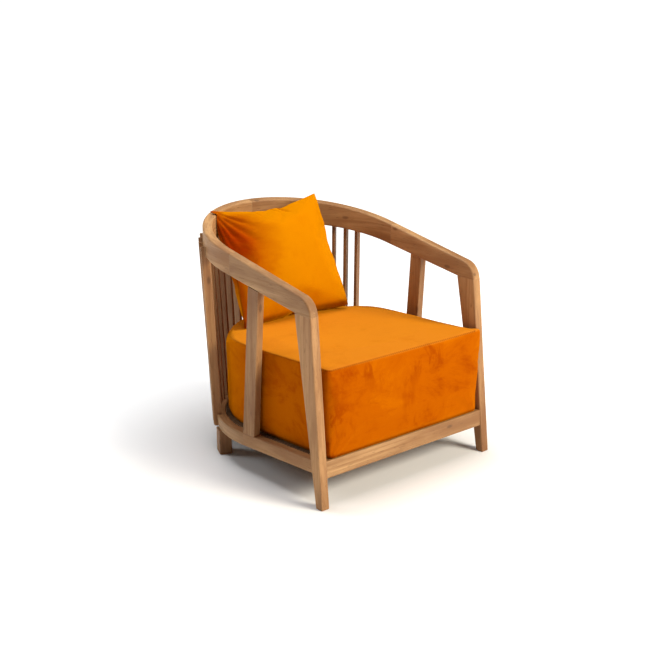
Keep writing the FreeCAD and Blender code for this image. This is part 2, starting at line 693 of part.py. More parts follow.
def build():
    both_sides("leg_front", front_leg())
    both_sides("arm", arm())
    both_sides("rail_curve", rail_curve("rail_curve_right", rounded=True))
    both_sides("post", post())
    keep("rail_front", front_rail())
    both_sides("rail_side", side_rail())
    both_sides("ring_corner", ring_corner())
    keep("ring_back", ring_back())
    both_sides("leg_rear", rear_leg())
    rail_tool = rail_curve("rail_envelope", rounded=False)
    ring_tool = ring_envelope()
    for number in range(int(value("slat_count"))):
        right = slat(number, rail_tool, ring_tool)
        keep(f"slat_right_{number + 1:02d}", right)
        mirror(f"slat_left_{number + 1:02d}", right)
    keep("seat_deck", seat_deck())
    both_sides("bearer", bearer())
    both_sides("corner_block", corner_block())
    keep("seat_cushion", cushion())
    keep("throw_pillow", pillow())


def check():
    """Stop before anything is written if a feature or a sub-part came out wrong."""
    doc.recompute()
    for obj in doc.Objects:
        if "Invalid" in obj.State or "Error" in obj.State:
            raise RuntimeError(f"{obj.Label} failed: {obj.State}")
    faulty = [label for label, obj in subparts.items()
              if obj.Shape.isNull() or not obj.Shape.isValid() or len(obj.Shape.Solids) != 1]
    if faulty:
        raise RuntimeError(f"not one valid solid each: {faulty}")


def export():
    os.makedirs("parts", exist_ok=True)
    box = FreeCAD.BoundBox()
    for label, obj in subparts.items():
        obj.Shape.exportStep(f"parts/{label}.step")
        box.add(obj.Shape.optimalBoundingBox(True))
    print(f"{len(subparts)} sub-parts, x {box.XMin:.2f}..{box.XMax:.2f}, "
          f"y {box.YMin:.2f}..{box.YMax:.2f}, z {box.ZMin:.2f}..{box.ZMax:.2f}")


build()
check()
export()
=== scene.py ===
import math

import bpy
import numpy as np
from mathutils import Euler, Matrix, Vector, noise


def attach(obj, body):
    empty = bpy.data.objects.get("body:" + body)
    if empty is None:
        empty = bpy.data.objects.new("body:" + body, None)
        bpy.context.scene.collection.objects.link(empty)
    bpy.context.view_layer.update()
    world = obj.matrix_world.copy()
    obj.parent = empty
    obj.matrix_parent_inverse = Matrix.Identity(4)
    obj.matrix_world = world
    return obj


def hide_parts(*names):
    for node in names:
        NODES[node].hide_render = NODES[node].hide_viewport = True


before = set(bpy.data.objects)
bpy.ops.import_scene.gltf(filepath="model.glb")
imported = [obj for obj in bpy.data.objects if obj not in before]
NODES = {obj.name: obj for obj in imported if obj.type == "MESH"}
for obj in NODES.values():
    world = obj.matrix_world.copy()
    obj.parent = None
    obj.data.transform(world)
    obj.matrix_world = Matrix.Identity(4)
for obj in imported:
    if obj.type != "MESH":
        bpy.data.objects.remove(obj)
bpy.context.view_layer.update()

# Places in the CAD frame, in metres.
SEAT_SLOPE = 0.041                     # the seat falls towards the back
SEAT_PIVOT = Vector((0, -0.3727, 0.1337))
SEAT_LOW, SEAT_HIGH = 0.1342, 0.3868   # the cushion's bottom and top, before the seat is tilted
RAIL_MID = (0.0, 0.0471)               # middle of the top rail's half circle
RAIL_INSIDE = 0.2975                   # radius of the rail's inner face
RAIL_TOP, RAIL_TOP_Y, RAIL_SLOPE = 0.708, 0.359, 0.195   # the rail's top face and its rise
CORNER_Y = -0.0241                     # middle of the ring corners' arcs
BACK_MID = (0.0, 0.0847)               # middle of the ring back's arc

SEAT_TILT = (Matrix.Translation(SEAT_PIVOT) @ Matrix.Rotation(-math.atan(SEAT_SLOPE), 4, "X")
             @ Matrix.Translation(-SEAT_PIVOT))


# Shader helpers.

class Shader:
    """Builds one material's node tree."""

    def __init__(self, name):
        self.material = bpy.data.materials.new(name)
        self.material.use_nodes = True
        self.tree = self.material.node_tree
        self.surface = self.tree.nodes["Principled BSDF"]

    def add(self, kind, links=None, **settings):
        """A node with its sockets set or linked by name or number."""
        node = self.tree.nodes.new(kind)
        for key, setting in settings.items():
            setattr(node, key, setting)
        for key, source in (links or {}).items():
            self.feed(node.inputs[key], source)
        return node

    def feed(self, socket, source):
        """Link a socket to another one, or set it to a value."""
        if isinstance(source, bpy.types.NodeSocket):
            self.tree.links.new(source, socket)
        else:
            socket.default_value = source

    def finish(self, **values):
        """Set the surface's own sockets; an underscore in a name stands for a space."""
        for name, value in values.items():
            self.surface.inputs[name.replace("_", " ")].default_value = value

    def math(self, operation, first, second=0.0):
        return self.add("ShaderNodeMath", {0: first, 1: second}, operation=operation).outputs[0]

    def times(self, first, second):
        return self.math("MULTIPLY", first, second)

    def length(self, first, second):
        """Length of the hypotenuse over two sides."""
        squares = self.math("ADD", self.times(first, first), self.times(second, second))
        return self.math("SQRT", squares)

    def vector(self, operation, first, second=(0.0, 0.0, 0.0)):
        node = self.add("ShaderNodeVectorMath", {0: first, 1: second}, operation=operation)
        number = operation in ("DOT_PRODUCT", "LENGTH", "DISTANCE")
        return node.outputs["Value" if number else "Vector"]

    def place(self):
        """Object coordinates, which are the CAD frame's."""
        return self.add("ShaderNodeTexCoord").outputs["Object"]

    def parts(self, vector):
        """A vector's x, y and z."""
        return self.add("ShaderNodeSeparateXYZ", {0: vector}).outputs

    def stored(self, name):
        """A number kept for each point of the mesh."""
        return self.add("ShaderNodeAttribute", attribute_name=name).outputs["Fac"]

    def stretch(self, along, across, up, scales):
        """A texture place from three coordinates, each with its own scale."""
        scaled = [self.times(part, scale) for part, scale in zip((along, across, up), scales)]
        return self.add("ShaderNodeCombineXYZ", dict(enumerate(scaled))).outputs[0]

    def noise(self, place, detail=2.0, rough=0.5, bend=0.0):
        links = {"Vector": place, "Scale": 1.0, "Detail": detail, "Roughness": rough,
                 "Distortion": bend}
        return self.add("ShaderNodeTexNoise", links).outputs["Fac"]

    def spread(self, value, low, high, **ends):
        """Value between low and high, spread evenly over the range that ends gives."""
        links = {"Value": value, "From Min": low, "From Max": high}
        links.update({name.replace("_", " "): end for name, end in ends.items()})
        return self.add("ShaderNodeMapRange", links).outputs["Result"]

    def ramp(self, value, low, high):
        """Value between low and high, spread over 0 to 1 with soft ends."""
        return self.add("ShaderNodeMapRange", {"Value": value, "From Min": low, "From Max": high},
                        interpolation_type="SMOOTHSTEP").outputs["Result"]

    def mix(self, share, first, second):
        node = self.add("ShaderNodeMix", data_type="RGBA", blend_type="MIX")
        for number, source in ((0, share), (6, first), (7, second)):
            self.feed(node.inputs[number], source)
        return node.outputs[2]

    def tint(self, colour, where, share, other):
        """A colour with some of another one where a mask says."""
        return self.mix(self.times(where, share), colour, other)

    def bump(self, height, strength, distance, below=None):
        links = {"Height": height, "Strength": strength, "Distance": distance}
        if below is not None:
            links["Normal"] = below
        return self.add("ShaderNodeBump", links).outputs["Normal"]

    def edges(self, radius, grain):
        """How far a point lies on a piece's long edges, and on its ends' edges, from 0 to 1.

        grain is the direction that the piece's fibres run in. Long edges that face down give 0.
        """
        eased = self.add("ShaderNodeBevel", {"Radius": radius}, samples=6).outputs["Normal"]
        flat = self.add("ShaderNodeNewGeometry").outputs["True Normal"]
        turn = self.vector("SUBTRACT", eased, flat)
        along = self.vector("DOT_PRODUCT", turn, grain)
        whole = self.vector("LENGTH", turn)
        rest = self.math("SUBTRACT", self.times(whole, whole), self.times(along, along))
        across = self.math("SQRT", self.math("MAXIMUM", 0.0, rest))
        rise = self.parts(turn)[2]
        pale_edge = self.times(self.ramp(across, 0.16, 0.42), self.ramp(rise, -0.12, -0.02))
        return pale_edge, self.ramp(self.math("ABSOLUTE", along), 0.30, 0.62)


def scaled(colour, share):
    """A colour made darker or paler."""
    return tuple(min(1.0, part * share) for part in colour[:3]) + (1,)


# Materials.

WOOD_LIGHT, WOOD_DARK = (0.47, 0.262, 0.108, 1), (0.25, 0.112, 0.038, 1)
UPRIGHT_LIGHT, UPRIGHT_DARK = (0.43, 0.225, 0.088, 1), (0.235, 0.10, 0.033, 1)
STAIN_LIGHT, STAIN_DARK = (0.13, 0.07, 0.032, 1), (0.07, 0.036, 0.016, 1)
# Paler wood along the edges that do not face down, and the bevel radius that finds them.
PALE_EDGE_WOOD = (0.62, 0.42, 0.25, 1)
PALE_EDGE_RADIUS = 0.004
ROUND_GRAIN = 0.32     # metres of grain for each radian round a bent piece

# Repeats in a metre, along the grain, across it and up.
BOARD_TONES = (3.0, 14, 14)
FIGURE = (3.2, 110, 110)
FIBRES = (22, 620, 620)
FLECKS = (38, 480, 480)
KNOTS = (8.5, 20, 20)


def wood(name, grain, centre=(0.0, 0.0), light=WOOD_LIGHT, dark=WOOD_DARK):
    """Oiled wood, paler along its edges that do not face down; every piece has its own place in the
    figure.

    The grain runs along x, y or z, or round an upright axis through centre.
    """
    shader = Shader(name)
    x, y, z = shader.parts(shader.place())
    own = shader.add("ShaderNodeObjectInfo").outputs["Random"]
    if grain == "round":
        side = shader.math("SUBTRACT", x, centre[0])
        back = shader.math("SUBTRACT", y, centre[1])
        along = shader.times(shader.math("ARCTAN2", side, back), ROUND_GRAIN)
        across, up = shader.length(side, back), z
        tangent = {0: back, 1: shader.times(side, -1.0), 2: 0.0}
        way = shader.vector("NORMALIZE", shader.add("ShaderNodeCombineXYZ", tangent).outputs[0])
    else:
        along, across, up = {"x": (x, y, z), "y": (y, x, z), "z": (z, x, y)}[grain]
        way = tuple(float(axis == grain) for axis in "xyz")
    along = shader.math("ADD", along, shader.times(own, 3.7))
    across = shader.math("ADD", across, shader.times(own, 1.3))

    def grained(scales, **settings):
        return shader.noise(shader.stretch(along, across, up, scales), **settings)

    tone = grained(BOARD_TONES, detail=4)
    figure = grained(FIGURE, detail=5, bend=0.7)
    fibre = grained(FIBRES, detail=2)
    fleck = grained(FLECKS, detail=1)
    cells = shader.add("ShaderNodeTexVoronoi",
                       {"Vector": shader.stretch(along, across, up, KNOTS), "Scale": 1.0})
    knot = shader.ramp(cells.outputs["Distance"], 0.14, 0.06)
    halo = shader.ramp(cells.outputs["Distance"], 0.32, 0.08)
    pale, deep = scaled(light, 1.25), scaled(dark, 0.42)
    colour = shader.mix(shader.ramp(tone, 0.35, 0.68), light, dark)
    for where, share, other in ((shader.ramp(figure, 0.44, 0.70), 0.6, dark),
                                (shader.ramp(figure, 0.42, 0.26), 0.35, pale),
                                (shader.ramp(fibre, 0.35, 0.75), 0.22, dark),
                                (shader.ramp(fleck, 0.63, 0.74), 0.5, deep),
                                (halo, 0.25, dark),
                                (knot, 0.65, deep)):
        colour = shader.tint(colour, where, share, other)
    value = shader.spread(own, 0.0, 1.0, To_Min=0.90, To_Max=1.08)
    colour = shader.add("ShaderNodeHueSaturation",
                        {"Color": colour, "Value": value}).outputs["Color"]
    # Paler along the long edges that do not face down, broken up by the tone; darker on the ends'
    # edges.
    pale_edge, ends = shader.edges(PALE_EDGE_RADIUS, way)
    colour = shader.tint(colour, shader.times(pale_edge, shader.ramp(tone, 0.25, 0.55)), 0.60, PALE_EDGE_WOOD)
    colour = shader.tint(colour, ends, 0.30, deep)
    shader.feed(shader.surface.inputs["Base Color"], colour)
    shader.feed(shader.surface.inputs["Roughness"],
                shader.spread(figure, 0.3, 0.7, To_Min=0.50, To_Max=0.64))
    shader.finish(Specular_IOR_Level=0.35)
    pores = shader.bump(fibre, 0.35, 0.0006)
    shader.feed(shader.surface.inputs["Normal"], shader.bump(figure, 0.30, 0.0008, pores))
    return shader.material


# A velvet's colours: brushed pale, as it stands, brushed dark, and on level faces a paler
# painted light, standing in for the light and sheen that fall on the top.
SEAT_PILE = {"pale": (0.50, 0.122, 0.0, 1), "full": (0.41, 0.082, 0.0, 1),
             "deep": (0.25, 0.024, 0.0, 1), "level": (0.55, 0.172, 0.012, 1)}
PILLOW_PILE = {"pale": (0.60, 0.210, 0.0, 1), "full": (0.53, 0.174, 0.0, 1),
               "deep": (0.36, 0.066, 0.0, 1), "level": (0.53, 0.174, 0.0, 1)}
# Middle and reach of a painted shade on the pillow's left, and its colour.
PILLOW_PAINTED_SHADE = ((-0.215, 0.205, 0.605), 0.265, (0.24, 0.006, 0.0, 1))
# The same reach also darkens the pile near a bottom edge, as a painted contact shade.
SEAM_AND_CONTACT_SHADE = 0.0045    # how far a seam darkens the pile beside it


def velvet(name, pile, crush, painted_shade=None):
    """Short-pile velvet: crushed patches, hand marks, a fine nap, a soft sheen and darker seams,
    with painted contact shade at bottom edges and painted light on level faces.

    crush says how strong the patches are. The last argument, if given, is a place darkened all over
    with painted shade: its middle, reach and colour.
    """
    shader = Shader(name)
    place = shader.place()
    x, y, z = shader.parts(place)

    def mottled(scales, **settings):
        return shader.noise(shader.stretch(x, y, z, scales), **settings)

    patches = mottled((6, 6, 8), detail=8, rough=0.70, bend=0.6)
    brushed = mottled((14, 14, 42), detail=4, rough=0.6, bend=0.3)
    where = mottled((9, 9, 9), detail=2)
    stroke = mottled((30, 30, 15), detail=4, rough=0.62, bend=0.6)
    nap = mottled((1100, 1100, 1100), detail=1)
    weave = mottled((420, 420, 420), detail=2)
    # Level faces get the pile's level colour: painted light, paler and yellower on the top.
    facing = shader.parts(shader.add("ShaderNodeNewGeometry").outputs["Normal"])[2]
    level = shader.ramp(facing, 0.45, 0.85)
    crushed = shader.times(shader.math("SUBTRACT", 1.0, shader.times(level, 0.75)), crush)
    marks = shader.times(shader.ramp(where, 0.48, 0.68), shader.ramp(stroke, 0.46, 0.64))
    colour = shader.mix(level, pile["full"], pile["level"])
    for mask, share, brush in ((shader.ramp(patches, 0.50, 0.70), 0.9, "deep"),
                               (shader.ramp(patches, 0.48, 0.30), 0.9, "pale"),
                               (shader.ramp(brushed, 0.55, 0.75), 0.4, "deep"),
                               (marks, 0.75, "deep")):
        colour = shader.tint(colour, shader.times(mask, share), crushed, pile[brush])
    colour = shader.tint(colour, shader.ramp(nap, 0.4, 0.7), 0.12, pile["deep"])
    # Painted shade on the pillow's left: round the given middle, and on the front panel beside the
    # left seam.
    if painted_shade is not None:
        middle, reach, shade = painted_shade
        far = shader.math("ADD", shader.vector("DISTANCE", place, middle),
                          shader.times(brushed, 0.09))
        inside = shader.times(shader.ramp(far, reach, 0.09),
                              shader.ramp(shader.stored("up"), 0.98, 0.80))
        edge_painted_shade = shader.times(shader.ramp(shader.stored("across"), -0.72, -0.93),
                           shader.ramp(shader.stored("side"), 0.2, -0.2))
        dark = shader.math("MAXIMUM", inside, shader.times(edge_painted_shade, 0.8))
        colour = shader.tint(colour, dark, 0.92, shade)
    # Darker seams, and painted contact shade along the bottom edge where the piece rests.
    seam = shader.ramp(shader.stored("rim"), SEAM_AND_CONTACT_SHADE, 0.0)
    red, green = pile["deep"][:2]
    colour = shader.tint(colour, seam, 0.85, (red * 0.42, green * 0.25, 0.0, 1))
    shader.feed(shader.surface.inputs["Base Color"], colour)
    shader.finish(Roughness=0.86, Specular_IOR_Level=0.008, Sheen_Weight=0.6,
                  Sheen_Roughness=0.45, Sheen_Tint=(1.0, 0.40, 0.0, 1))
    cloth = shader.bump(weave, 0.18, 0.0006, shader.bump(nap, 0.25, 0.0004))
    shader.feed(shader.surface.inputs["Normal"], shader.bump(brushed, 0.22, 0.004, cloth))
    return shader.material


def paint(prefixes, material):
    """Give a material to every CAD node whose name starts with one of the prefixes."""
    for name, node in NODES.items():
        if name.startswith(prefixes):
            node.data.materials.clear()
            node.data.materials.append(material)


# Meshes of the soft pieces.

def new_piece(name, points, faces, material):
    mesh = bpy.data.meshes.new(name)
    mesh.from_pydata([tuple(point) for point in points], [], faces)
    mesh.validate()
    piece = bpy.data.objects.new(name, mesh)
    bpy.context.scene.collection.objects.link(piece)
    piece.data.materials.append(material)
    return piece


def smooth(piece):
    piece.data.polygons.foreach_set("use_smooth", [True] * len(piece.data.polygons))


def apply_modifiers(piece):
    """Bake the piece's modifiers into its mesh."""
    evaluated = piece.evaluated_get(bpy.context.evaluated_depsgraph_get())
    mesh = bpy.data.meshes.new_from_object(evaluated)
    piece.modifiers.clear()
    piece.data = mesh


def subdivide(piece):
    fine = piece.modifiers.new("fine", "SUBSURF")
    fine.levels = 1
    fine.render_levels = 1
    apply_modifiers(piece)


def points_of(piece):
    places = np.zeros(len(piece.data.vertices) * 3)
    piece.data.vertices.foreach_get("co", places)
    return places.reshape(-1, 3)


def move_points(piece, places):
    piece.data.vertices.foreach_set("co", places.ravel())
    piece.data.update()


def store(piece, name, values):
    """Keep one number for each point of a piece under a name."""
    kept = piece.data.attributes.new(name, "FLOAT", "POINT")
    kept.data.foreach_set("value", np.asarray(values, dtype=np.float32))


def stored(piece, name):
    values = np.empty(len(piece.data.vertices), dtype=np.float32)
    piece.data.attributes[name].data.foreach_get("value", values)
    return values.astype(float)


def rise(value, start, run):
    """0 to 1 as value goes from start to start + run; a run below zero goes down."""
    return np.clip((value - start) / run, 0, 1)


def inflate(piece, held, pressure, frames, cap, share=(1, 1, 1), tension=15.0, bending=0.5):
    """Swell the piece like a filled cover.

    The held points stay. Each point's way is capped, and share says how much of it is kept
    along each axis.
    """
    before = points_of(piece)
    cloth = piece.modifiers.new("cloth", "CLOTH")
    for name, value in (("quality", 6), ("mass", 0.25), ("air_damping", 2.0),
                        ("tension_stiffness", tension), ("compression_stiffness", tension),
                        ("shear_stiffness", tension / 3), ("bending_stiffness", bending),
                        ("use_pressure", True), ("uniform_pressure_force", pressure)):
        setattr(cloth.settings, name, value)
    cloth.settings.effector_weights.gravity = 0
    if len(held):
        group = piece.vertex_groups.new(name="held")
        group.add([int(number) for number in held], 1.0, "REPLACE")
        cloth.settings.vertex_group_mass = "held"
    cloth.point_cache.frame_start = 1
    cloth.point_cache.frame_end = frames
    scene = bpy.context.scene
    for number in range(1, frames + 1):
        scene.frame_set(number)
    apply_modifiers(piece)
    scene.frame_set(1)
    way = points_of(piece) - before
    length = np.linalg.norm(way, axis=1, keepdims=True)
    capped = way * np.minimum(1.0, cap / np.maximum(length, 1e-9))
    move_points(piece, before + capped * np.array(share))


# Seat cushion. Its mesh is made level and tilted with the seat at the end.

SEAT_HALF, SEAT_FRONT = 0.2915, -0.3755
FRONT_ROUND = 0.016                    # rounding of the upright front corners
SIDE_MID, SIDE_RADIUS = (-0.0628, -0.0240), 0.3536
BACK_RADIUS = 0.228
OUTLINE_STEPS = 300
SEAT_MIDDLE = (0, -0.06)
BOTTOM_ROUND = 0.009
TOP_ROUND, TOP_ROUND_MORE = 0.010, 0.040   # rounding of the top's edge, and its gain at the back
SEAT_VOXEL = 0.0055
CROWN = 0.007          # rise of the top's middle
UNEVEN_TOP, UNEVEN_SIDES = 0.0022, 0.0018
SWELL = 0.005          # how far the front swells between the legs
EAR = 0.022            # how far the right front corner spreads in front of its leg


def arc(middle, radius, start, end, count):
    angles = np.radians(np.linspace(start, end, count))
    return np.stack([middle[0] + radius * np.cos(angles), middle[1] + radius * np.sin(angles)],
                    axis=1)


def seat_outline():
    """The cushion's D-shaped outline, from the middle of the front round the right side."""
    right = np.concatenate([
        [[0.0, SEAT_FRONT]],
        arc((SEAT_HALF - FRONT_ROUND, SEAT_FRONT + FRONT_ROUND), FRONT_ROUND, -90, 0, 8),
        arc(SIDE_MID, SIDE_RADIUS, 0, 60, 60),
        arc(BACK_MID, BACK_RADIUS, 61, 90, 30)])
    path = np.concatenate([right, right[-2:0:-1] * (-1, 1)])
    path = np.concatenate([path, path[:1]])
    run = np.concatenate([[0], np.cumsum(np.linalg.norm(np.diff(path, axis=0), axis=1))])
    even = np.linspace(0, run[-1], OUTLINE_STEPS, endpoint=False)
    return np.stack([np.interp(even, run, path[:, axis]) for axis in (0, 1)], axis=1)


def outward(outline):
    """Unit normals of a closed outline that runs anticlockwise."""
    way = np.roll(outline, -1, axis=0) - np.roll(outline, 1, axis=0)
    normal = np.stack([way[:, 1], -way[:, 0]], axis=1)
    return normal / np.linalg.norm(normal, axis=1, keepdims=True)


def closed_skin(rings):
    """A closed mesh through rings of points, with a fan at each end."""
    count = len(rings[0])
    ends = [rings[0].mean(0, keepdims=True), rings[-1].mean(0, keepdims=True)]
    points = np.concatenate(rings + ends)
    faces = []
    for level in range(len(rings) - 1):
        low, high = level * count, (level + 1) * count
        for step in range(count):
            after = (step + 1) % count
            faces.append((low + step, low + after, high + after, high + step))
    bottom, top = len(rings) * count, len(rings) * count + 1
    last = (len(rings) - 1) * count
    for step in range(count):
        after = (step + 1) % count
        faces.append((bottom, after, step))
        faces.append((top, last + step, last + after))
    return points, faces


def top_radius(outline):
    """Rounding of the top's edge: tight in front and at the sides, fuller at the back."""
    rear = rise(outline[:, 1], 0.02, 0.20)
    return (TOP_ROUND + TOP_ROUND_MORE * rear * rear * (3 - 2 * rear))[:, None]


def seat_skin():
    """The unfilled cushion: rounded bottom edge, straight sides, rounded top edge, flat top."""
    outline = seat_outline()
    normal = outward(outline)
    radius = top_radius(outline)
    rings = []

    def ring(inset, height):
        level = np.broadcast_to(height, (len(outline), 1))
        rings.append(np.concatenate([outline - normal * inset, level], axis=1))

    for turn in np.linspace(0, math.pi / 2, 5):
        ring(BOTTOM_ROUND * (1 - math.sin(turn)),
             SEAT_LOW + BOTTOM_ROUND * (1 - math.cos(turn)))
    for share in np.linspace(0.1, 1.0, 12):
        ring(0.0, SEAT_LOW + BOTTOM_ROUND
             + (SEAT_HIGH - radius - SEAT_LOW - BOTTOM_ROUND) * share)
    for turn in np.linspace(0.2, math.pi / 2, 7):
        ring(radius * (1 - math.cos(turn)), SEAT_HIGH - radius * (1 - math.sin(turn)))
    edge = rings[-1]
    middle = np.array([*SEAT_MIDDLE, SEAT_HIGH])
    for share in np.linspace(0.9, 0.1, 9):
        rings.append(middle + (edge - middle) * share)
    return closed_skin(rings)


def seam_distance(places):
    """How far each point lies from the seam that runs round the top's edge."""
    outline = seat_outline()
    radius = top_radius(outline)
    edge = outline - outward(outline) * radius * 0.3
    seam = np.concatenate([edge, SEAT_HIGH - radius * 0.3], axis=1)
    far = np.full(len(places), 1.0)
    near = places[:, 2] > SEAT_HIGH - 0.03
    far[near] = np.linalg.norm(places[near][:, None] - seam[None], axis=2).min(1)
    return far


def seat_seams(seat):
    """The points that the cover's seams hold: the bottom's, and those along the top's edge."""
    places = points_of(seat)
    held = (seam_distance(places) < 0.008) | (places[:, 2] < SEAT_LOW + 0.004)
    return np.nonzero(held)[0]


def leg_front(z):
    """Depth of the front legs' front faces at height z, before the seat is tilted."""
    return -0.3855 + 0.0935 * z


def bulge_past_legs(places):
    """Above the front rail, the right front corner spreads sideways ahead of the leaning leg."""
    x, y, z = places.T
    ahead = rise(y, leg_front(z) - 0.003, -0.010)
    corner = rise(x, 0.21, 0.08)
    places[:, 0] += EAR * rise(z, SEAT_LOW, 0.2) ** 0.7 * ahead * corner ** 2


def crown(seat):
    """A slight crown, small unevenness from use, and a front that swells between the legs."""
    places = points_of(seat)
    x, y, z = places.T
    up = rise(z, SEAT_LOW, SEAT_HIGH - SEAT_LOW)
    inside = np.clip(1 - (x / 0.29) ** 2, 0, 1) * np.clip(1 - ((y + 0.04) / 0.34) ** 2, 0, 1)
    places[:, 2] += CROWN * inside * up ** 3
    for number, place in enumerate(places):
        spot = Vector(place)
        places[number, 2] += up[number] ** 4 * UNEVEN_TOP * noise.noise(spot * 7)
        if up[number] > 0.03:
            places[number, 1] += UNEVEN_SIDES * noise.noise(spot * 9 + Vector((5, 1, 2)))
            places[number, 0] += UNEVEN_SIDES * noise.noise(spot * 9 + Vector((1, 7, 3)))
    places[:, 2] = np.maximum(places[:, 2], SEAT_LOW)
    face = rise(y, -0.355, -0.012) * np.clip(1 - (x / 0.285) ** 4, 0, 1)
    ends = rise(z, SEAT_LOW, 0.022) ** 0.6 * rise(z, SEAT_HIGH, -0.03)
    places[:, 1] -= SWELL * face * ends
    bulge_past_legs(places)
    move_points(seat, places)


def make_seat(material):
    seat = new_piece("seat_cover", *seat_skin(), material)
    remesh = seat.modifiers.new("even", "REMESH")
    remesh.mode = "VOXEL"
    remesh.voxel_size = SEAT_VOXEL
    apply_modifiers(seat)
    inflate(seat, seat_seams(seat), pressure=2.0, frames=18, cap=0.006)
    crown(seat)
    subdivide(seat)
    places = points_of(seat)
    # The rim number is the distance to the top seam, and falls near the bottom edge for a painted
    # contact shade where the cushion meets the rail.
    contact_shade_height = np.maximum(places[:, 2] - SEAT_LOW - 0.005, 0) * 0.45
    store(seat, "rim", np.minimum(seam_distance(places), contact_shade_height))
    seat.data.transform(SEAT_TILT)
    smooth(seat)
    return seat


# Throw pillow. Across and up run from -1 to 1 over its panels, and side is -1 on the front one,
# 0 on the seam and 1 on the back one.

PILLOW_WIDE, PILLOW_TALL, PILLOW_THICK = 0.378, 0.374, 0.136
PILLOW_CENTRE = Vector((-0.009, 0.192, 0.548))
PILLOW_TURN = (Matrix.Rotation(math.radians(-8.3), 4, "Z")
               @ Matrix.Rotation(math.radians(-27), 4, "X")
               @ Matrix.Rotation(math.radians(-2.9), 4, "Y"))
PANEL_STEPS = 60
PANEL_SLACK = 1.14     # the panels are cut larger than the filled pillow
PANEL_RISE = 0.016
SEAT_CLEAR = 0.0012
RAIL_CLEAR = 0.002

# Creases that run in from the corners: the corner across and up, the angle from level in
# degrees, where the crease starts and ends, its depth in metres, and its width in degrees.
CREASES = ((-1, 1, 20, 0.14, 0.60, 0.006, 5), (-1, 1, 37, 0.06, 0.80, 0.010, 5),
           (-1, 1, 52, 0.16, 1.00, 0.008, 5), (-1, 1, 66, 0.08, 0.85, 0.010, 5),
           (-1, 1, 79, 0.20, 0.90, 0.006, 4), (1, 1, 60, 0.05, 0.34, 0.004, 7),
           (1, 1, 30, 0.08, 0.45, 0.004, 6), (1, -1, 24, 0.06, 0.40, 0.005, 7),
           (1, -1, 50, 0.05, 0.32, 0.005, 7), (-1, -1, 30, 0.05, 0.45, 0.005, 7),
           (-1, -1, 60, 0.05, 0.50, 0.005, 7))
# Puckers under the top seam: their place across and their depth in metres.
PUCKERS = ((0.06, 0.009), (0.22, 0.013), (-0.30, 0.006))
PUCKER_WIDE = 0.024
EDGE_WAVE = 0.0016     # small waves beside all four seams
LEFT_ROLL = 0.009      # how far the left edge rolls over
TUCK_BACK, TUCK_UP = 0.022, 0.008   # how far the bottom edge is tucked under
RIGHT_BOW = 0.010
MIDDLE_DROP = 0.013    # sag of the top and bottom edges midway between the corners


def pillow_skin():
    """Two square panels joined along their edges, x across and z up, and each point's weave."""
    lines = np.linspace(-1, 1, PANEL_STEPS + 1)
    across, up = np.meshgrid(lines, lines, indexing="ij")
    size = (PILLOW_WIDE * PANEL_SLACK, PILLOW_TALL * PANEL_SLACK)
    flat = np.stack([across * 0.5, up * 0.5], axis=-1) * size
    depth = PANEL_RISE * (1 - across ** 2) * (1 - up ** 2)
    points, weave, number, faces = [], [], {}, []
    for side in (-1, 1):
        for i in range(PANEL_STEPS + 1):
            for j in range(PANEL_STEPS + 1):
                rim = i in (0, PANEL_STEPS) or j in (0, PANEL_STEPS)
                if rim and side == 1:
                    number[side, i, j] = number[-1, i, j]
                    continue
                number[side, i, j] = len(points)
                points.append((flat[i, j, 0], side * depth[i, j], flat[i, j, 1]))
                weave.append((lines[i], lines[j], 0.0 if rim else side))
    for side in (-1, 1):
        for i in range(PANEL_STEPS):
            for j in range(PANEL_STEPS):
                corner = [number[side, i, j], number[side, i + 1, j],
                          number[side, i + 1, j + 1], number[side, i, j + 1]]
                faces.append(tuple(corner if side == -1 else corner[::-1]))
    return points, faces, weave


def fold(places, across, up, front):
    """Creases and puckers on the upright pillow, a rolled left edge and a tucked bottom.

    front is 1 on the front panel, 0 on the seam and -1 on the back panel.
    """
    inner = np.clip(1 - np.maximum(np.abs(across), np.abs(up)) ** 10, 0, 1)
    for corner_x, corner_z, at, start, reach, deep, wide in CREASES:
        side, drop = 1 - across * corner_x, 1 - up * corner_z
        out = np.hypot(side, drop)
        angle = np.degrees(np.arctan2(drop, side))
        share = rise(out, start, 0.12) * rise(out, reach, -0.30)
        places[:, 1] += front * inner * deep * share * np.exp(-((angle - at) / wide) ** 2)
    below = 1 - up
    for place, deep in PUCKERS:
        share = np.clip(1 - below / 0.30, 0, 1) * np.clip(below / 0.04, 0, 1)
        line = (across - place - below * 0.35) / PUCKER_WIDE
        places[:, 1] += front * deep * share * np.exp(-line ** 2)
    for along, inward in ((across, 1 - np.abs(up)), (up, 1 - np.abs(across))):
        wave = np.sin(along * 27 + 2.2 * np.sin(along * 7 + up + across))
        near = np.clip(inward / 0.03, 0, 1) * np.exp(-inward / 0.09)
        places[:, 1] += front * EDGE_WAVE * wave * near
    height = np.clip(1 - up ** 4, 0, 1)
    left = rise(-across, 0.7, 0.3)
    roll = np.sin(math.pi * left) * (front < 0)
    places[:, 0] += height * (LEFT_ROLL * left ** 3 - LEFT_ROLL * roll)
    places[:, 1] += height * (0.007 * roll - 0.005 * left ** 2)
    under = rise(-up, 0.80, 0.20) * np.clip(1 - across ** 4, 0, 1)
    places[:, 1] += TUCK_BACK * under ** 2
    places[:, 2] += TUCK_UP * under ** 3
    places[:, 0] += RIGHT_BOW * rise(across, 0.5, 0.5) ** 2 * (1 - up ** 2)


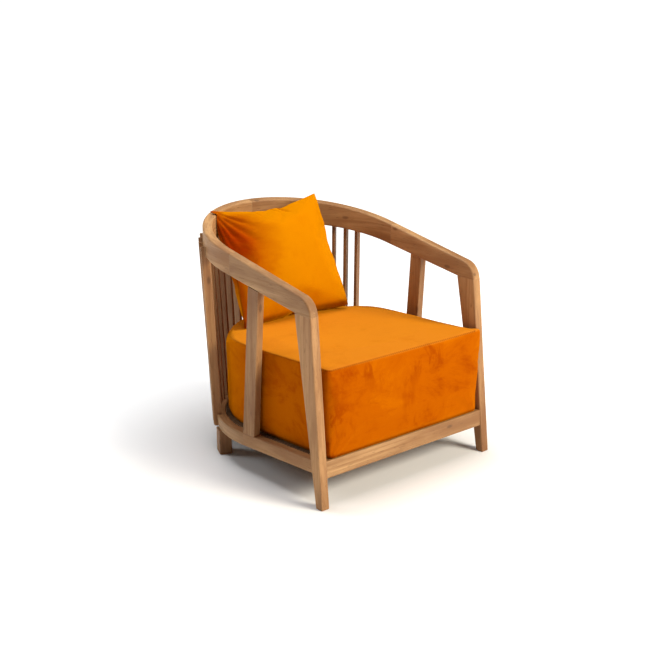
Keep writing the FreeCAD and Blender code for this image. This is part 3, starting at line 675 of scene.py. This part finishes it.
def press(places):
    """Keep the pillow off the seat's top and, below the rail's top face, inside the rail."""
    x, y, z = places.T
    seat_top = SEAT_HIGH + SEAT_CLEAR - SEAT_SLOPE * (y - SEAT_PIVOT.y)
    places[:, 2] = np.maximum(z, seat_top)
    rail_top = RAIL_TOP + RAIL_SLOPE * (y - RAIL_TOP_Y)
    reach = np.hypot(x - RAIL_MID[0], y - RAIL_MID[1])
    limit = RAIL_INSIDE - RAIL_CLEAR
    past = (reach > limit) & (z < rail_top + 0.004)
    pull = np.where(past, limit / np.maximum(reach, 1e-6), 1.0)
    places[:, 0] = RAIL_MID[0] + (x - RAIL_MID[0]) * pull
    places[:, 1] = RAIL_MID[1] + (y - RAIL_MID[1]) * pull


def fit_pillow(pillow):
    """Bring the filled pillow to its size, set it in place and press it against rail and seat."""
    places = points_of(pillow)
    across, up, side = (stored(pillow, name) for name in ("across", "up", "side"))
    to_edge = 1 - np.maximum(np.abs(across), np.abs(up))
    # The rim number is the distance to the seams, and falls near the bottom edge for a painted
    # contact shade where the pillow rests on the seat.
    contact_shade_height = np.maximum(up + 0.93, 0) * 0.25
    store(pillow, "rim", np.minimum(to_edge, contact_shade_height) * PILLOW_WIDE / 2)
    places -= (places.max(0) + places.min(0)) / 2
    size = places.max(0) - places.min(0)
    places *= np.array([PILLOW_WIDE, PILLOW_THICK, PILLOW_TALL]) / size
    places[:, 2] -= MIDDLE_DROP * (1 - across ** 2) * up ** 2
    fold(places, across, up, -side)
    turned = places @ np.array(PILLOW_TURN.to_3x3()).T + np.array(PILLOW_CENTRE)
    press(turned)
    move_points(pillow, turned)


def make_pillow(material):
    points, faces, weave = pillow_skin()
    pillow = new_piece("pillow_cover", points, faces, material)
    inflate(pillow, [], pressure=3.0, frames=26, cap=0.20, share=(0.30, 1, 0.38),
            tension=12.0, bending=0.05)
    for name, values in zip(("across", "up", "side"), np.transpose(weave)):
        store(pillow, name, values)
    subdivide(pillow)
    fit_pillow(pillow)
    smooth(pillow)
    return pillow


# The chair.

paint(("leg_", "post_", "slat_"),
      wood("wood_upright", "z", light=UPRIGHT_LIGHT, dark=UPRIGHT_DARK))
paint(("rail_front", "corner_block"), wood("wood_across", "x"))
paint(("arm_", "rail_side", "bearer"), wood("wood_deep", "y"))
paint(("rail_curve",), wood("wood_rail", "round", RAIL_MID))
paint(("ring_corner",), wood("wood_ring", "round", (0.0, CORNER_Y)))
paint(("ring_back",), wood("wood_ring_back", "round", BACK_MID))
paint(("seat_deck",), wood("stained_plywood", "x", light=STAIN_LIGHT, dark=STAIN_DARK))

seat = make_seat(velvet("seat_velvet", SEAT_PILE, 0.8))
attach(seat, "cushion")
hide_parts("seat_cushion")

pillow = make_pillow(velvet("pillow_velvet", PILLOW_PILE, 0.2, painted_shade=PILLOW_PAINTED_SHADE))
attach(pillow, "pillow")
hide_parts("throw_pillow")


# Studio.

FLOOR_HALF = 40
# Where the floor's own light starts and ends, in metres from the middle, and its strength.
FLOOR_GLOW = ((0.38, 1.2, 0.48), (1.4, 5.0, 0.5))
WORLD_LIGHT, WORLD_BACKDROP = 0.10, 1.05
CAMERA_PLACE = (-2.21224, -2.60870, 1.38706)
CAMERA_PITCH, CAMERA_HEADING = 73.646, -40.658
CAMERA_LENS = 64.325


def area_light(name, place, target, size, power, colour=(1, 1, 1)):
    """A round soft light at a place, turned towards a target."""
    light = bpy.data.lights.new(name, "AREA")
    light.shape = "DISK"
    light.size = size
    light.energy = power
    light.color = colour
    lamp = bpy.data.objects.new(name, light)
    lamp.location = place
    lamp.rotation_euler = (Vector(target) - Vector(place)).to_track_quat("-Z", "Y").to_euler()
    bpy.context.scene.collection.objects.link(lamp)


def make_floor():
    shader = Shader("floor_white")
    x, y, _ = shader.parts(shader.place())
    reach = shader.length(x, y)
    near, far = (shader.times(shader.ramp(reach, start, end), strength)
                 for start, end, strength in FLOOR_GLOW)
    shader.finish(Base_Color=(0.93, 0.93, 0.93, 1), Roughness=0.9, Emission_Color=(1, 1, 1, 1))
    shader.feed(shader.surface.inputs["Emission Strength"], shader.math("ADD", near, far))
    corners = [(x * FLOOR_HALF, y * FLOOR_HALF, 0) for x, y in ((-1, -1), (1, -1), (1, 1), (-1, 1))]
    floor = new_piece("floor", corners, [(0, 1, 2, 3)], shader.material)


def make_world():
    """Dim soft light from all round, with a white backdrop above the floor's far edge."""
    world = bpy.data.worlds.new("studio")
    world.use_nodes = True
    nodes, links = world.node_tree.nodes, world.node_tree.links
    nodes["Background"].inputs["Color"].default_value = (0.97, 0.98, 1.0, 1)
    seen = nodes.new("ShaderNodeLightPath").outputs["Is Camera Ray"]
    level = nodes.new("ShaderNodeMapRange")
    level.inputs["To Min"].default_value = WORLD_LIGHT
    level.inputs["To Max"].default_value = WORLD_BACKDROP
    links.new(seen, level.inputs["Value"])
    links.new(level.outputs["Result"], nodes["Background"].inputs["Strength"])
    bpy.context.scene.world = world


def make_camera():
    lens = bpy.data.cameras.new("camera")
    lens.lens = CAMERA_LENS
    lens.sensor_width = 36
    lens.sensor_fit = "HORIZONTAL"
    camera = bpy.data.objects.new("camera", lens)
    camera.location = CAMERA_PLACE
    camera.rotation_euler = Euler((math.radians(CAMERA_PITCH), 0, math.radians(CAMERA_HEADING)))
    bpy.context.scene.collection.objects.link(camera)
    bpy.context.scene.camera = camera


make_floor()
make_world()
area_light("key", (1.5, -4.2, 2.9), (0, 0, 0.4), size=2.2, power=290, colour=(1.0, 0.93, 0.79))
area_light("top", (0.0, 0.3, 3.2), (0, 0, 0.3), size=2.4, power=78)
area_light("rim", (-2.1, 2.6, 1.7), (0, 0, 0.5), size=1.4, power=30, colour=(0.94, 0.97, 1.0))
make_camera()
bpy.context.scene.view_settings.view_transform = "Standard"
